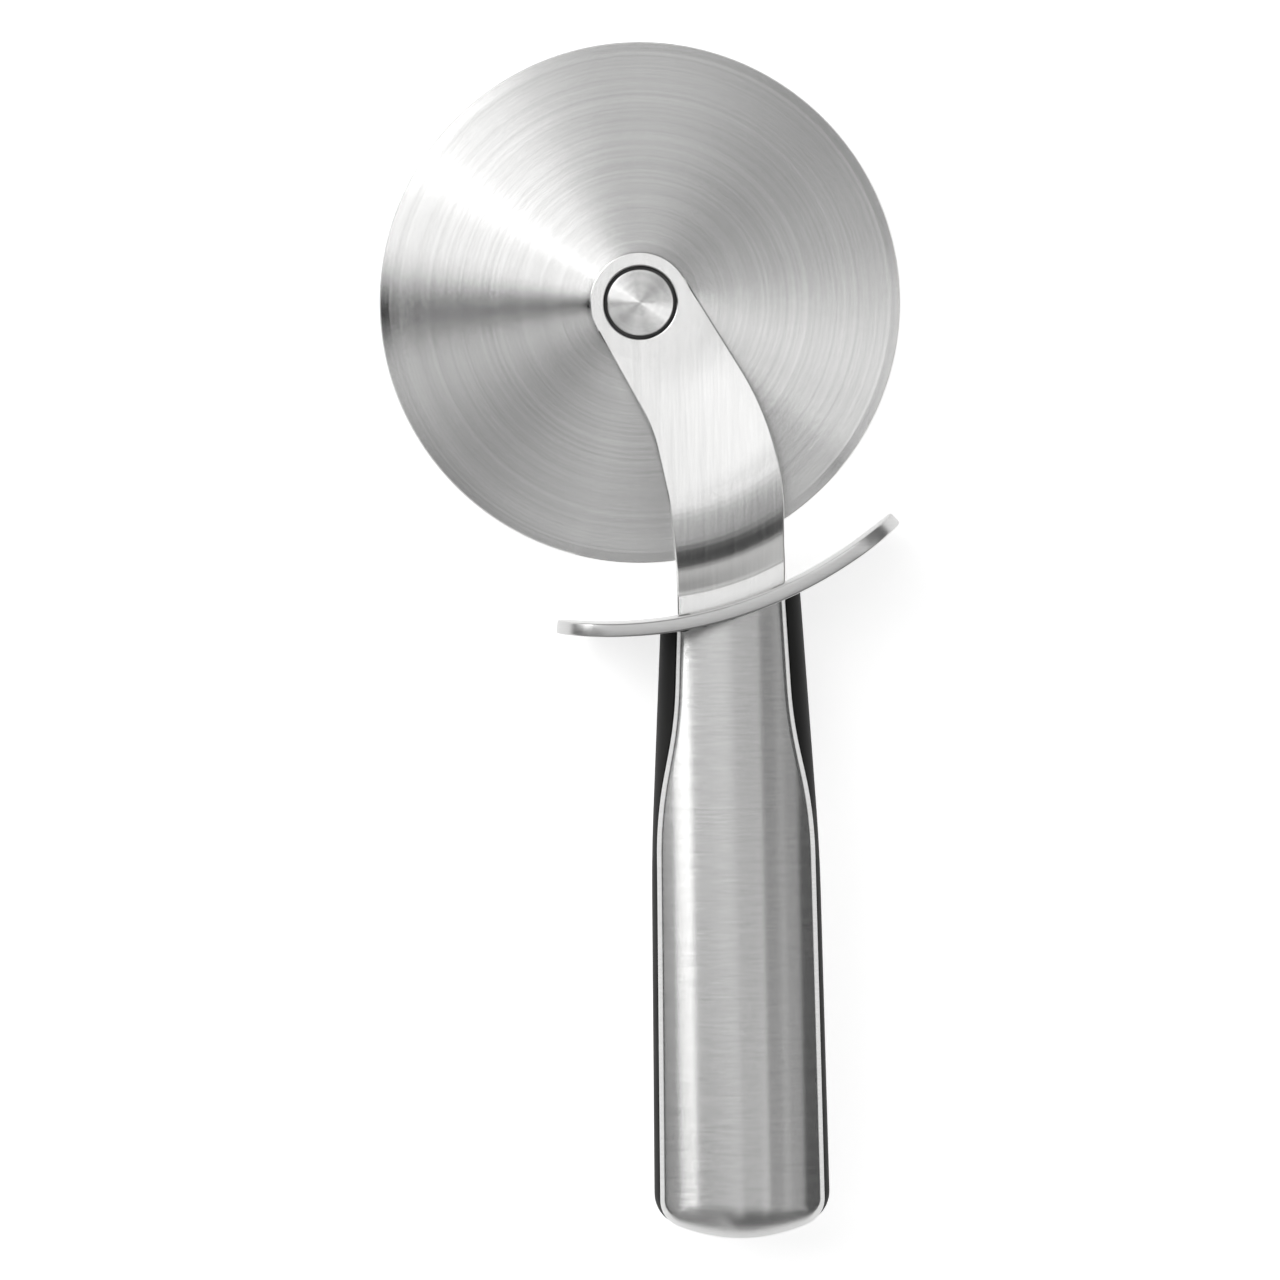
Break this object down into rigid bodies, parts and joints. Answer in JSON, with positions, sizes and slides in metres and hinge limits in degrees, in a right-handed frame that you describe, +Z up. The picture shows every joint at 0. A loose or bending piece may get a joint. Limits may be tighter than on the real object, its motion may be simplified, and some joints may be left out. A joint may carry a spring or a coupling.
{
  "type": "pizza cutter wheel",
  "caption": "Hand-held pizza cutter with a free-turning round blade on a bowed one-sided arm, a curved finger guard and a steel handle with soft sides.",
  "frame": {"origin": "Centre of the bounding box on the table the cutter lies on; the wheel's axis passes through x = 0.", "axes": "+X to the right, +Y along the handle towards the wheel, +Z up from the table out of the front face."},
  "size_m": [0.1016, 0.2336, 0.024],
  "materials": {
    "blade_steel": "fine concentric brushing, bright ground edge",
    "arm_steel": "satin brushed plate with bright broken edges",
    "shell_steel": "fine lengthwise brushing",
    "pin_steel": "turned face",
    "bearing_plastic": "moulded, slightly waxy",
    "core_plastic": "moulded",
    "soft_grip": "soft satin elastomer"
  },
  "bodies": {
    "frame": {"neck_arm": "arm_steel", "finger_guard": "arm_steel", "axle_pin": "pin_steel", "axle_rear_cap": "pin_steel", "front_thrust_washer": "bearing_plastic", "rear_thrust_washer": "bearing_plastic", "front_shell": "shell_steel", "back_shell": "shell_steel", "handle_core_front": "core_plastic", "handle_core_back": "core_plastic", "side_grip": "soft_grip", "tang_pins": "pin_steel"},
    "wheel": {"cutting_blade": "blade_steel", "blade_bushing": "bearing_plastic"}
  },
  "joints": [
    {"name": "blade_spin", "type": "hinge", "parent": "frame", "child": "wheel", "pos_m": [0, 0.06605, 0.012], "axis": [0, 0, 1], "continuous": true}
  ]
}
